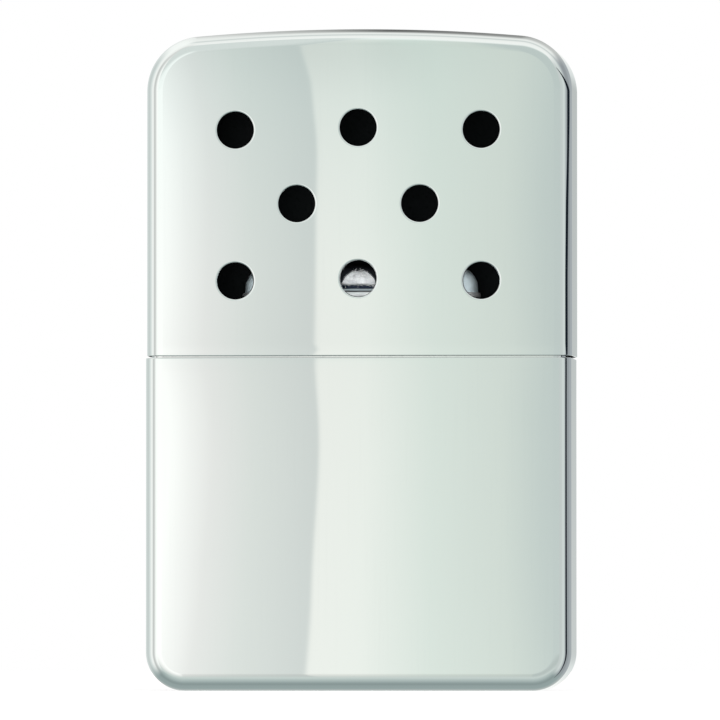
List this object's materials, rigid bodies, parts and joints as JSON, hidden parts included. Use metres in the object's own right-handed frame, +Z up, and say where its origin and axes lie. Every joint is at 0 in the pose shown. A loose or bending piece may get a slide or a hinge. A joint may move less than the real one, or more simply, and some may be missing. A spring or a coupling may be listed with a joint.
{
  "type": "catalytic hand warmer",
  "caption": "Slim pocket hand warmer: a fuel tank packed with cotton, a catalytic burner that sits on the tank's neck, and a vented lid that slides over a collar.",
  "frame": {"origin": "middle of the foot, on the surface that the warmer stands on", "axes": "+X across the width, to the right of someone who faces the vents; vented face towards -Y; +Z up, from the base to the lid"},
  "size_m": [0.0494, 0.014, 0.0768],
  "materials": {
    "case_chrome": "polished chrome plate on drawn sheet",
    "collar_chrome": "chrome plate, faintly rubbed by the lid",
    "deck_nickel": "satin nickel plate",
    "neck_nickel": "satin nickel plate",
    "strip_steel": "bare spring steel",
    "burner_nickel": "bright nickel plate, faintly heat tinted",
    "wick_felt": "pressed felt",
    "tank_cotton": "loose cotton",
    "glass_fibre": "matted glass fibre that carries the catalyst"
  },
  "bodies": {
    "base": {"base_shell": "case_chrome", "inner_collar": "collar_chrome", "tank_deck": "deck_nickel", "fuel_neck": "neck_nickel", "neck_bridge": "strip_steel", "wick_pad": "wick_felt", "cotton_lower": "tank_cotton", "cotton_upper": "tank_cotton"},
    "burner": {"burner_skirt": "burner_nickel", "burner_cover": "burner_nickel", "mat_carrier": "strip_steel", "catalyst_mat": "glass_fibre"},
    "lid": {"lid_shell": "case_chrome"}
  },
  "joints": [
    {"name": "lid_slide", "type": "slide", "parent": "base", "child": "lid", "axis": [0, 0, 1], "range_m": [0, 0.042]},
    {"name": "burner_slide", "type": "slide", "parent": "base", "child": "burner", "axis": [0, 0, 1], "range_m": [0, 0.011]}
  ]
}
